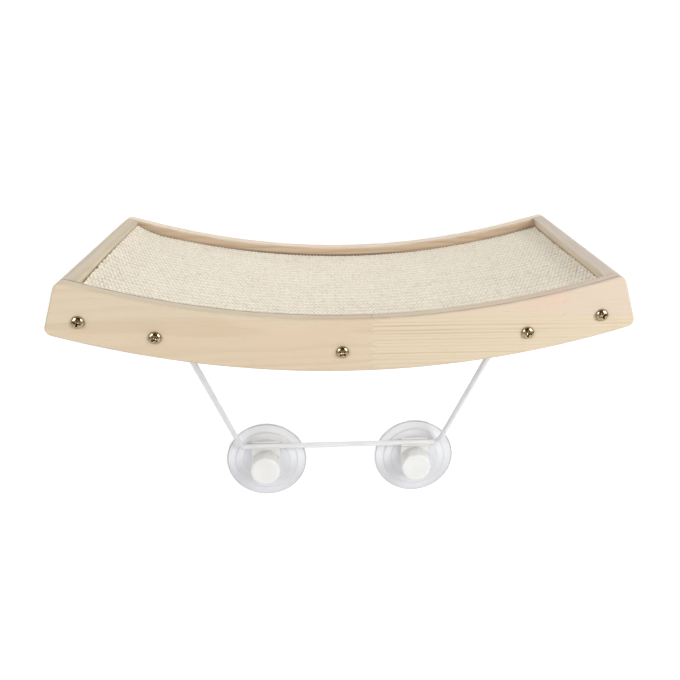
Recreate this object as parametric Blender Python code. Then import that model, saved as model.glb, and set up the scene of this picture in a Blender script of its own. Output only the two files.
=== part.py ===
"""Wooden cat hammock for a window: a curved pine tray with a recessed sisal
mat, five cross bars under a bent plywood panel, two suction cups behind the
rear board and a folding wire support with two large suction cups below.

Metres, +Z up. The window pane is the plane Y = 0 and the hammock reaches out
from it towards -Y. X = 0 is the plane of symmetry. Z = 0 is the lowest point
of the boards' curved top edges.
"""

import math

import bmesh
import bpy
from mathutils import Matrix, Vector

MM = 0.001

# ---------------------------------------------------------------- dimensions
GAP = 0.3            # clearance between touching pieces

# curved tray
ARC_R = 832.0        # radius of the boards' top edges
HALF_CHORD = 250.0   # half the straight length between the top corners
BOARD_H = 50.0       # board height, measured along the radius
BOARD_T = 15.0       # board thickness
INNER_DEPTH = 250.0  # clear depth between front and rear boards
PANE_GAP = 16.0      # rear board's back face to the window pane
CORNER_R = 7.0       # rounded ends of the boards
EDGE_R = 1.4         # eased edges of the boards
ARC_SEG = 30

# inside the tray
MAT_TOP = 9.5        # mat's top face below the boards' top edges
MAT_T = 5.0
PANEL_T = 4.0
BAR_W = 18.0         # cross bars
BAR_H = 24.4
BAR_X = (-232.0, -166.0, 0.0, 166.0, 232.0)
FRONT_SCREW_X = (-233.8, -169.2, -4.0, 164.6, 232.0)   # drilled by hand, a little off the bars' middles
BAR_NAMES = ("support_bar_left", "bracket_bar_left", "support_bar_centre",
             "bracket_bar_right", "support_bar_right")

# wood screws
SCREW_HEAD_R = 6.0
SCREW_HEAD_H = 3.3
SCREW_SHANK_R = 2.45
SCREW_L = 45.0
SCREW_HOLE_R = 2.95
SCREW_TURN = (18.0, 52.0, 40.0, 8.0, 63.0)   # how far each cross recess ended up turned

# wire support
ROD_R = 3.5
PIVOT_Y = -194.5
PIVOT_Z = -16.0
PIVOT_X = 184.0      # where the leg's line meets the pin's line
PIN_END_X = 151.0
PIN_BEND_R = 7.0
FOOT_X = 132.4       # where the leg's line meets the bottom bar's line
FOOT_Y = -12.0
FOOT_Z = -276.6
FOOT_BEND_R = 11.0
PIN_HOLE_R = 3.95

# lower suction cups
CUP_X = 100.3
CUP_Z = -302.7
CUP_R = 53.6
STUD_R = 3.0
SADDLE_R = 18.8
CLIP_HALF_W = 18.3
KNOB_R = 19.4
KNOB_BACK = 13.3
KNOB_FRONT = 35.0

# upper suction cups
UP_X = 110.0
UP_Z = -27.0
UP_R = 29.0
NUT_R = 12.0

# -------------------------------------------------------------------- set-up
for old in list(bpy.data.objects):
    bpy.data.objects.remove(old, do_unlink=True)

END_ANGLE = math.asin(HALF_CHORD / ARC_R)
REAR_Y = -PANE_GAP
REAR_IN_Y = REAR_Y - BOARD_T
FRONT_IN_Y = REAR_IN_Y - INNER_DEPTH
FRONT_Y = FRONT_IN_Y - BOARD_T
BAR_TOP_R = ARC_R + MAT_TOP + MAT_T + PANEL_T + 3 * GAP + 0.2
BAR_MID_R = BAR_TOP_R + BAR_H / 2


def material(name, rgb, rough, metal=0.0, alpha=1.0):
    mat = bpy.data.materials.new(name)
    mat.use_nodes = True
    bsdf = mat.node_tree.nodes["Principled BSDF"]
    bsdf.inputs["Base Color"].default_value = (*rgb, 1.0)
    bsdf.inputs["Roughness"].default_value = rough
    bsdf.inputs["Metallic"].default_value = metal
    bsdf.inputs["Alpha"].default_value = alpha
    mat.diffuse_color = (*rgb, alpha)
    return mat


PINE_FRONT = material("pine_front", (0.80, 0.66, 0.47), 0.55)
PINE = material("pine", (0.76, 0.61, 0.43), 0.6)
PLY = material("birch_plywood", (0.70, 0.56, 0.38), 0.6)
SISAL = material("sisal", (0.78, 0.71, 0.58), 0.95)
ZINC = material("yellow_zinc", (0.72, 0.58, 0.30), 0.25, 1.0)
WIRE = material("white_powder_coat", (0.86, 0.86, 0.86), 0.4)
STEEL = material("zinc_steel", (0.62, 0.62, 0.63), 0.3, 1.0)
PVC = material("clear_vinyl", (0.82, 0.83, 0.86), 0.15, 0.0, 0.45)
WHITE = material("white_plastic", (0.84, 0.84, 0.82), 0.4)


def add_object(name, bm, mat, location=(0.0, 0.0, 0.0), smooth=35.0, scale=MM):
    """Mesh in millimetres to a named object in metres."""
    bmesh.ops.recalc_face_normals(bm, faces=bm.faces)
    bmesh.ops.scale(bm, vec=(scale, scale, scale), verts=bm.verts)
    mesh = bpy.data.meshes.new(name)
    bm.to_mesh(mesh)
    bm.free()
    mesh.materials.append(mat)
    mesh.shade_smooth()
    mesh.set_sharp_from_angle(angle=math.radians(smooth))
    obj = bpy.data.objects.new(name, mesh)
    obj.location = [c * scale for c in location]
    bpy.context.scene.collection.objects.link(obj)
    return obj


def extrude_outline(points, lo, hi, axis="Y"):
    """Closed prism from a flat outline. For axis Y a point is (x, z), for
    axis X it is (y, z)."""
    bm = bmesh.new()

    def place(p, t):
        return (p[0], t, p[1]) if axis == "Y" else (t, p[0], p[1])

    a = [bm.verts.new(place(p, lo)) for p in points]
    b = [bm.verts.new(place(p, hi)) for p in points]
    n = len(points)
    bm.faces.new(a)
    bm.faces.new(list(reversed(b)))
    for i in range(n):
        j = (i + 1) % n
        bm.faces.new((a[j], a[i], b[i], b[j]))
    return bm


def lathe(profile, seg, ripple=None):
    """Turned body about the Y axis. A profile point is (radius, distance in
    front of the pane). ripple(angle, radius) may shift a radius."""
    bm = bmesh.new()
    rings = []
    for r, d in profile:
        if r < 1e-6:
            rings.append([bm.verts.new((0.0, -d, 0.0))])
            continue
        ring = []
        for k in range(seg):
            t = 2.0 * math.pi * k / seg
            rr = r + (ripple(t, r) if ripple else 0.0)
            ring.append(bm.verts.new((rr * math.cos(t), -d, rr * math.sin(t))))
        rings.append(ring)
    count = len(rings)
    closed = len(rings[0]) > 1
    for i in range(count if closed else count - 1):
        a, b = rings[i], rings[(i + 1) % count]
        for k in range(seg):
            m = (k + 1) % seg
            if len(a) == 1 and len(b) > 1:
                bm.faces.new((a[0], b[k], b[m]))
            elif len(b) == 1 and len(a) > 1:
                bm.faces.new((a[k], b[0], a[m]))
            elif len(a) > 1:
                bm.faces.new((a[k], b[k], b[m], a[m]))
    return bm


def polar(radius, angle, inset=0.0):
    """Point of the arc in the X-Z plane. inset moves it square to the radius,
    back from the end plane at that angle."""
    s, c = math.sin(angle), math.cos(angle)
    sign = 1.0 if angle >= 0 else -1.0
    return (radius * s - sign * inset * c, ARC_R - (radius * c + sign * inset * s))


def sector(r0, r1, angle, corner, seg):
    """Outline of a curved board, with its four corners rounded."""
    pts = []
    lim = angle - (corner / r0 if corner else 0.0)
    for i in range(seg + 1):                       # top edge, left to right
        pts.append(polar(r0, -lim + 2 * lim * i / seg))
    steps = 5
    if corner:
        for i in range(1, steps):                  # top right corner
            f = math.pi / 2 * i / steps
            pts.append(polar(r0 + corner * (1 - math.cos(f)), angle,
                             corner * (1 - math.sin(f))))
        pts.append(polar(r0 + corner, angle))
        for i in range(steps):                     # bottom right corner
            f = math.pi / 2 * i / steps
            pts.append(polar(r1 - corner * (1 - math.sin(f)), angle,
                             corner * (1 - math.cos(f))))
    lim = angle - (corner / r1 if corner else 0.0)
    for i in range(seg + 1):                       # bottom edge, right to left
        pts.append(polar(r1, lim - 2 * lim * i / seg))
    if corner:
        for i in range(steps - 1, -1, -1):
            f = math.pi / 2 * i / steps
            pts.append(polar(r1 - corner * (1 - math.sin(f)), -angle,
                             corner * (1 - math.cos(f))))
        pts.append(polar(r0 + corner, -angle))
        for i in range(steps - 1, 0, -1):
            f = math.pi / 2 * i / steps
            pts.append(polar(r0 + corner * (1 - math.cos(f)), -angle,
                             corner * (1 - math.sin(f))))
    return pts


def ease_edges(obj, width, segments=1, limit=40.0):
    mod = obj.modifiers.new("eased_edges", "BEVEL")
    mod.width = width * MM
    mod.segments = segments
    mod.limit_method = "ANGLE"
    mod.angle_limit = math.radians(limit)
    mod.use_clamp_overlap = True
    return mod


def cutter(name, bm):
    obj = add_object(name, bm, STEEL)
    obj.hide_render = True
    obj.display_type = "WIRE"
    return obj


def cut(obj, tool, name):
    mod = obj.modifiers.new(name, "BOOLEAN")
    mod.operation = "DIFFERENCE"
    mod.solver = "EXACT"
    mod.object = tool
    return mod


def drill(x, z, y0, y1, radius, seg=12):
    """Round cutter along Y."""
    bm = bmesh.new()
    ring = [(x + radius * math.cos(2 * math.pi * k / seg),
             z + radius * math.sin(2 * math.pi * k / seg)) for k in range(seg)]
    a = [bm.verts.new((p[0], y0, p[1])) for p in ring]
    b = [bm.verts.new((p[0], y1, p[1])) for p in ring]
    bm.faces.new(a)
    bm.faces.new(list(reversed(b)))
    for i in range(seg):
        j = (i + 1) % seg
        bm.faces.new((a[j], a[i], b[i], b[j]))
    return bm


def merged(parts):
    """Several separate solids in one mesh, for one cutting tool."""
    out = bmesh.new()
    for bm in parts:
        tmp = bpy.data.meshes.new("tmp")
        bm.to_mesh(tmp)
        bm.free()
        out.from_mesh(tmp)
        bpy.data.meshes.remove(tmp)
    return out


# -------------------------------------------------------- screw positions
def screw_z(x):
    """Height of a screw on the bars' middle line."""
    return ARC_R - math.sqrt((BAR_MID_R - 0.9) ** 2 - x * x)



# ------------------------------------------------- front and rear boards
outline = sector(ARC_R, ARC_R + BOARD_H, END_ANGLE, CORNER_R, ARC_SEG)

front = add_object("front_board", extrude_outline(outline, FRONT_Y, FRONT_IN_Y), PINE_FRONT)
ease_edges(front, EDGE_R)
tool = cutter("cut_front_screws", merged(
    [drill(x, screw_z(x), FRONT_Y - 5, FRONT_IN_Y + 5, SCREW_HOLE_R) for x in FRONT_SCREW_X]))
cut(front, tool, "screw_holes")

rear = add_object("rear_board", extrude_outline(outline, REAR_IN_Y, REAR_Y), PINE)
ease_edges(rear, EDGE_R)
tool = cutter("cut_rear_screws", merged(
    [drill(x, screw_z(x), REAR_IN_Y - 5, REAR_Y + 5, SCREW_HOLE_R) for x in BAR_X]
    + [drill(s * UP_X, UP_Z, REAR_IN_Y - 5, REAR_Y + 5, STUD_R + 0.45) for s in (-1, 1)]))
cut(rear, tool, "screw_and_stud_holes")

# --------------------------------------------------------------- end boards
for side, name in ((-1, "end_board_left"), (1, "end_board_right")):
    a = side * END_ANGLE
    steps = 5
    r0, r1 = ARC_R, ARC_R + BOARD_H
    pts = [polar(r0, a, BOARD_T), polar(r0, a, CORNER_R)]
    for i in range(1, steps):
        f = math.pi / 2 * i / steps
        pts.append(polar(r0 + CORNER_R * (1 - math.cos(f)), a, CORNER_R * (1 - math.sin(f))))
    pts.append(polar(r0 + CORNER_R, a))
    for i in range(steps):
        f = math.pi / 2 * i / steps
        pts.append(polar(r1 - CORNER_R * (1 - math.sin(f)), a, CORNER_R * (1 - math.cos(f))))
    pts.append(polar(r1, a, CORNER_R))
    pts.append(polar(r1, a, BOARD_T))
    bm = extrude_outline(pts, FRONT_IN_Y + GAP, REAR_IN_Y - GAP)
    add_object(name, bm, PINE)

# --------------------------------------------------------------- cross bars
for i, (x, name) in enumerate(zip(BAR_X, BAR_NAMES)):
    a = math.asin(x / (BAR_MID_R - 0.9))
    top, bot, half = BAR_TOP_R, BAR_TOP_R + BAR_H, BAR_W / 2
    s, c = math.sin(a), math.cos(a)
    pts = []
    for r, t in ((top, -half), (top, half), (bot, half), (bot, -half)):
        pts.append((r * s + t * c, ARC_R - (r * c - t * s)))
    y0, y1 = FRONT_IN_Y + GAP, REAR_IN_Y - GAP
    bar = add_object(name, extrude_outline(pts, y0, y1), PINE)
    ease_edges(bar, 1.0)
    reach = SCREW_L - BOARD_T + 4
    xf = FRONT_SCREW_X[i]
    parts = [drill(xf, screw_z(xf), y0 - 5, y0 + reach, SCREW_HOLE_R),
             drill(x, screw_z(x), y1 - reach, y1 + 5, SCREW_HOLE_R)]
    if "bracket" in name:
        seg = 16
        bm = bmesh.new()
        ring = [(PIVOT_Y + PIN_HOLE_R * math.cos(2 * math.pi * k / seg),
                 PIVOT_Z + PIN_HOLE_R * math.sin(2 * math.pi * k / seg)) for k in range(seg)]
        lo, hi = sorted((math.copysign(140.0, x), math.copysign(190.0, x)))
        va = [bm.verts.new((lo, p[0], p[1])) for p in ring]
        vb = [bm.verts.new((hi, p[0], p[1])) for p in ring]
        bm.faces.new(va)
        bm.faces.new(list(reversed(vb)))
        for k in range(seg):
            m = (k + 1) % seg
            bm.faces.new((va[m], va[k], vb[k], vb[m]))
        parts.append(bm)
    cut(bar, cutter("cut_" + name, merged(parts)), "holes")

# --------------------------------------------------- base panel and sisal mat
r0 = ARC_R + MAT_TOP + MAT_T + GAP
ang = END_ANGLE - math.asin((BOARD_T + 1.0) / r0)
add_object("base_panel", extrude_outline(sector(r0, r0 + PANEL_T, ang, 0.0, ARC_SEG),
                                         FRONT_IN_Y + 0.5, REAR_IN_Y - 0.5), PLY)
r0 = ARC_R + MAT_TOP
ang = END_ANGLE - math.asin((BOARD_T + 0.6) / r0)
add_object("sisal_mat", extrude_outline(sector(r0, r0 + MAT_T, ang, 0.0, ARC_SEG),
                                        FRONT_IN_Y + 1.4, REAR_IN_Y - 1.4), SISAL)

# -------------------------------------------------------------- wood screws
# Turned body with the head's bearing face at local Y = 0 and the shank along
# +Y, then a cross recess sunk in the domed head.
head = [(0.0, SCREW_HEAD_H), (2.6, SCREW_HEAD_H - 0.12), (4.4, SCREW_HEAD_H - 0.75),
        (5.6, SCREW_HEAD_H - 1.9), (SCREW_HEAD_R, SCREW_HEAD_H - 2.7), (SCREW_HEAD_R - 0.1, 0.0),
        (SCREW_SHANK_R, 0.0), (SCREW_SHANK_R, -(SCREW_L - 6.0)), (0.0, -SCREW_L)]
blank = add_object("screw_blank", lathe(head, 14), ZINC)
blades = []
for k in range(2):
    bm = bmesh.new()
    half_l, half_w = 3.3, 0.62
    top = SCREW_HEAD_H + 1.0
    low = SCREW_HEAD_H - 1.9
    v = []
    for (sx, sz) in ((-1, -1), (1, -1), (1, 1), (-1, 1)):
        v.append(bm.verts.new((sx * half_l, -top, sz * half_w)))
    for (sx, sz) in ((-1, -1), (1, -1), (1, 1), (-1, 1)):
        v.append(bm.verts.new((sx * (half_l - 1.5), -low, sz * (half_w - 0.12))))
    for q in ((0, 1, 2, 3), (7, 6, 5, 4), (0, 4, 5, 1), (1, 5, 6, 2), (2, 6, 7, 3), (3, 7, 4, 0)):
        bm.faces.new([v[i] for i in q])
    bmesh.ops.rotate(bm, cent=(0, 0, 0), matrix=Matrix.Rotation(math.pi / 2 * k, 3, "Y"),
                     verts=bm.verts)
    blades.append(cutter("cut_recess_%d" % k, bm))
for k, tool in enumerate(blades):
    cut(blank, tool, "recess_%d" % k)
bpy.context.view_layer.update()
deps = bpy.context.evaluated_depsgraph_get()
screw_mesh = bpy.data.meshes.new_from_object(blank.evaluated_get(deps))
screw_mesh.name = "wood_screw"
bpy.data.objects.remove(blank, do_unlink=True)
for tool in blades:
    bpy.data.objects.remove(tool, do_unlink=True)

for i in range(5):
    for face, x, y, turn in (("front", FRONT_SCREW_X[i], FRONT_Y - GAP, 0.0),
                             ("rear", BAR_X[i], REAR_Y + GAP, math.pi)):
        obj = bpy.data.objects.new("screw_%s_%d" % (face, i + 1), screw_mesh)
        obj.location = Vector((x, y, screw_z(x))) * MM
        obj.rotation_euler = (0.0, math.radians(SCREW_TURN[i]), turn)
        bpy.context.scene.collection.objects.link(obj)


# -------------------------------------------------------------- wire support
def filleted(points, radii, seg):
    """Straight runs joined by round bends."""
    out = [points[0]]
    for i in range(1, len(points) - 1):
        p, r = points[i], radii[i]
        u = (points[i - 1] - p).normalized()
        w = (points[i + 1] - p).normalized()
        half = u.angle(w) / 2
        run = r / math.tan(half)
        centre = p + (u + w).normalized() * (r / math.sin(half))
        a, b = p + u * run, p + w * run
        va, vb = a - centre, b - centre
        total = va.angle(vb)
        for k in range(seg + 1):
            t = k / seg
            out.append(centre + (va * math.sin((1 - t) * total) + vb * math.sin(t * total))
                       / math.sin(total))
    out.append(points[-1])
    return out


pivot = Vector((0.0, PIVOT_Y, PIVOT_Z))
route = [Vector((-PIN_END_X, PIVOT_Y, PIVOT_Z)), Vector((-PIVOT_X, PIVOT_Y, PIVOT_Z)),
         Vector((-FOOT_X, FOOT_Y, FOOT_Z)), Vector((FOOT_X, FOOT_Y, FOOT_Z)),
         Vector((PIVOT_X, PIVOT_Y, PIVOT_Z)), Vector((PIN_END_X, PIVOT_Y, PIVOT_Z))]
path = filleted(route, [0, PIN_BEND_R, FOOT_BEND_R, FOOT_BEND_R, PIN_BEND_R, 0], 6)
curve = bpy.data.curves.new("wire_bracket", "CURVE")
curve.dimensions = "3D"
curve.bevel_depth = ROD_R * MM
curve.bevel_resolution = 3
curve.use_fill_caps = True
spline = curve.splines.new("POLY")
spline.points.add(len(path) - 1)
for sp, p in zip(spline.points, path):
    q = (p - pivot) * MM
    sp.co = (q.x, q.y, q.z, 1.0)
curve.materials.append(WIRE)
wire = bpy.data.objects.new("wire_bracket", curve)
wire.location = pivot * MM
bpy.context.scene.collection.objects.link(wire)

# push-on caps on the pins' inner ends
for side, name in ((-1, "pin_cap_left"), (1, "pin_cap_right")):
    prof = [(0.0, 0.0), (5.4, 0.0), (6.4, 1.0), (6.4, 5.8), (ROD_R + 0.35, 5.8),
            (ROD_R + 0.35, 1.7), (0.0, 1.7)]
    bm = lathe(prof, 16)
    # turn the profile's axis from -Y to +X or -X, so the open end faces outwards
    bmesh.ops.rotate(bm, cent=(0, 0, 0),
                     matrix=Matrix.Rotation(side * math.pi / 2, 3, "Z"), verts=bm.verts)
    add_object(name, bm, WHITE, location=(side * 149.0, PIVOT_Y, PIVOT_Z))

# ------------------------------------------------------- lower suction cups
cup_profile = [
    (0.0, 1.5), (16.0, 1.5), (28.0, 1.3), (40.0, 0.9), (50.2, 0.35), (50.6, 0.0),
    (CUP_R, 0.0), (CUP_R, 0.9), (CUP_R - 1.0, 1.4), (42.0, 2.3), (40.0, 3.6),
    (32.0, 4.2), (30.0, 5.4), (24.0, 5.6), (3.35, 5.7),
    (3.35, 4.4), (9.0, 4.4), (9.0, 2.55), (0.0, 2.55)]
stud_profile = [(0.0, 2.85), (8.7, 2.85), (8.7, 4.1), (STUD_R, 4.1), (STUD_R, 26.4),
                (STUD_R - 0.7, 27.2), (0.0, 27.2)]


def knob_ripple(t, r):
    if r < 16.5:
        return 0.0
    return -0.55 * (0.5 - 0.5 * math.cos(12 * t)) ** 3


knob_profile = [(0.0, 29.0), (3.35, 29.0), (3.35, KNOB_BACK), (18.3, KNOB_BACK),
                (KNOB_R, KNOB_BACK + 1.2), (KNOB_R, KNOB_FRONT - 2.6),
                (KNOB_R - 0.8, KNOB_FRONT - 0.9), (KNOB_R - 2.4, KNOB_FRONT),
                (13.6, KNOB_FRONT), (12.6, KNOB_FRONT - 1.2), (0.0, KNOB_FRONT - 1.5)]

bar_d, bar_h = -FOOT_Y, FOOT_Z - CUP_Z     # rod centre: ahead of the pane, above the cup's axis
for side, tag in ((-1, "left"), (1, "right")):
    at = (side * CUP_X, 0.0, CUP_Z)
    add_object("lower_cup_" + tag, lathe(cup_profile, 36), PVC, at)
    add_object("lower_stud_" + tag, lathe(stud_profile, 12), STEEL, at)
    add_object("lower_knob_" + tag, lathe(knob_profile, 48, knob_ripple), WHITE, at)

    # saddle: an upright plate on the stud, round below and straight-sided
    # above, with a snap clip for the rod along its top. The clip's mouth
    # looks up and forward, so the load presses the rod in.
    pts = [(SADDLE_R, 15.0), (-SADDLE_R, 15.0)]
    for k in range(25):
        f = math.pi + math.pi * k / 24
        pts.append((SADDLE_R * math.cos(f), SADDLE_R * math.sin(f)))
    plate = add_object("lower_saddle_" + tag, extrude_outline(pts, -13.0, -6.0), WHITE, at)
    ease_edges(plate, 0.8)
    inner, outer = ROD_R + 0.35, 6.0
    pts = []
    n = 16
    for k in range(n + 1):                       # outside of the clip, lip to web
        f = math.radians(105 + (200 - 105) * k / n)
        pts.append((-(bar_d + outer * math.cos(f)), bar_h + outer * math.sin(f)))
    pts.append((-(bar_d + outer * math.cos(math.radians(200))), 12.0))
    pts.append((-12.7, 12.0))
    for k in range(8):                           # web to the front lip
        f = math.radians(278 + (345 - 278) * k / 7)
        pts.append((-(bar_d + outer * math.cos(f)), bar_h + outer * math.sin(f)))
    for k in range(21):                          # inside, back to the first lip
        f = math.radians(345 - (345 - 105) * k / 20)
        pts.append((-(bar_d + inner * math.cos(f)), bar_h + inner * math.sin(f)))
    clip = cutter("clip_" + tag, extrude_outline(pts, -CLIP_HALF_W, CLIP_HALF_W, "X"))
    clip.location = Vector(at) * MM
    mod = plate.modifiers.new("clip", "BOOLEAN")
    mod.operation = "UNION"
    mod.solver = "EXACT"
    mod.object = clip
    bore = cutter("bore_" + tag, drill(0.0, 0.0, -20.0, 0.0, 3.4, 16))
    bore.location = Vector(at) * MM
    cut(plate, bore, "stud_hole")

# ------------------------------------------------------- upper suction cups
upper_profile = [
    (0.0, 2.0), (10.0, 2.0), (18.0, 1.6), (25.8, 0.5), (26.3, 0.0), (UP_R, 0.0), (UP_R, 0.9),
    (25.5, 2.2), (18.0, 3.8), (13.6, 6.0), (11.4, 9.0), (11.0, 15.6), (3.35, 15.6),
    (3.35, 8.3), (7.8, 8.3), (7.8, 5.4), (0.0, 5.4)]
upper_stud = [(0.0, 5.7), (7.5, 5.7), (7.5, 8.0), (STUD_R, 8.0), (STUD_R, 49.4),
              (STUD_R - 0.7, 50.2), (0.0, 50.2)]


def nut_ripple(t, r):
    return -1.0 * (0.5 - 0.5 * math.cos(8 * t)) ** 2 if r > 9.0 else 0.0


nut_d = -REAR_IN_Y + GAP
nut_profile = [(3.35, nut_d), (10.6, nut_d), (NUT_R, nut_d + 1.2), (NUT_R, nut_d + 12.6),
               (10.6, nut_d + 13.8), (7.0, nut_d + 14.2), (3.35, nut_d + 14.2)]
for side, tag in ((-1, "left"), (1, "right")):
    at = (side * UP_X, 0.0, UP_Z)
    add_object("upper_cup_" + tag, lathe(upper_profile, 28), PVC, at)
    add_object("upper_stud_" + tag, lathe(upper_stud, 12), STEEL, at)
    add_object("upper_nut_" + tag, lathe(nut_profile, 32, nut_ripple), WHITE, at)
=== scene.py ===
"""Looks of the wooden cat hammock: camera, studio, woven sisal mat, turned
pieces with fine detail, and procedural materials for every piece."""

import math

import bpy
import numpy as np
from mathutils import Matrix, Vector

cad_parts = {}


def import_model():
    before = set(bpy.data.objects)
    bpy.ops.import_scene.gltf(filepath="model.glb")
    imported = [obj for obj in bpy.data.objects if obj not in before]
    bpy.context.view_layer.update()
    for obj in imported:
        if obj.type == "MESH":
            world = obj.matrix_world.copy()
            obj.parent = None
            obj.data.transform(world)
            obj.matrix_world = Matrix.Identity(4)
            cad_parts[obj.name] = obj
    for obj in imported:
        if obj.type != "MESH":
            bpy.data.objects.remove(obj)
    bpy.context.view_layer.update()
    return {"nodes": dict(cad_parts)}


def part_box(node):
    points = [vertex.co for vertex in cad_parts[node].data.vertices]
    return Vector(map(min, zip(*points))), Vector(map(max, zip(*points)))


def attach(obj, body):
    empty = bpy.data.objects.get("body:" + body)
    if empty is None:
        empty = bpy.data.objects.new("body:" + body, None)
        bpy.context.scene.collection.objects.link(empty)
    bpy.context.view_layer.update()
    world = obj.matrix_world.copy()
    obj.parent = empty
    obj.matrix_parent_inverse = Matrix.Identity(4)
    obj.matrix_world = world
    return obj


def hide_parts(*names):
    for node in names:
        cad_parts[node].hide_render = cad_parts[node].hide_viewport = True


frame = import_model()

MM = 0.001
NODES = frame["nodes"]
COLL = bpy.context.scene.collection

# The CAD's own dimensions, in millimetres
ARC_R = 832.0
HALF_CHORD = 250.0
END_ANGLE = math.asin(HALF_CHORD / ARC_R)
BOARD_T = 15.0
MAT_R = 841.5
MAT_T = 5.0
MAT_Y0, MAT_Y1 = -279.6, -32.4
BAR_X = (-232.0, -166.0, 0.0, 166.0, 232.0)
BAR_MID_R = 851.6 + 12.2
SCREW_TURN = (18.0, 52.0, 40.0, 8.0, 63.0)
CUP_X, CUP_Z = 100.3, -302.7
UP_X, UP_Z = 110.0, -27.0


# ------------------------------------------------------------------- camera
def make_camera():
    yaw, pitch, roll = -0.0743, 0.3355, 0.0092
    focal_px, px, py = 785.5956, 378.1828, 319.584
    cy, sy = math.cos(yaw), math.sin(yaw)
    right = Vector((cy, sy, 0.0))
    fwd = Matrix(((cy, -sy, 0.0), (sy, cy, 0.0), (0.0, 0.0, 1.0))) @ Vector(
        (0.0, math.cos(pitch), -math.sin(pitch)))
    up = right.cross(fwd)
    r2 = math.cos(roll) * right + math.sin(roll) * up
    u2 = -math.sin(roll) * right + math.cos(roll) * up
    data = bpy.data.cameras.new("camera")
    data.sensor_width = 36.0
    data.lens = focal_px / 680.0 * 36.0
    data.shift_x = (340.0 - px) / 680.0
    data.shift_y = (py - 340.0) / 680.0
    data.clip_start = 0.02
    data.clip_end = 50.0
    cam = bpy.data.objects.new("camera", data)
    COLL.objects.link(cam)
    rot = Matrix((r2, u2, -fwd)).transposed()
    cam.matrix_world = Matrix.Translation((-0.0212852, -0.9565271, 0.230551)) @ rot.to_4x4()
    bpy.context.scene.camera = cam
    bpy.context.scene.view_settings.view_transform = "Standard"
    bpy.context.scene.view_settings.look = "None"


make_camera()


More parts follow.
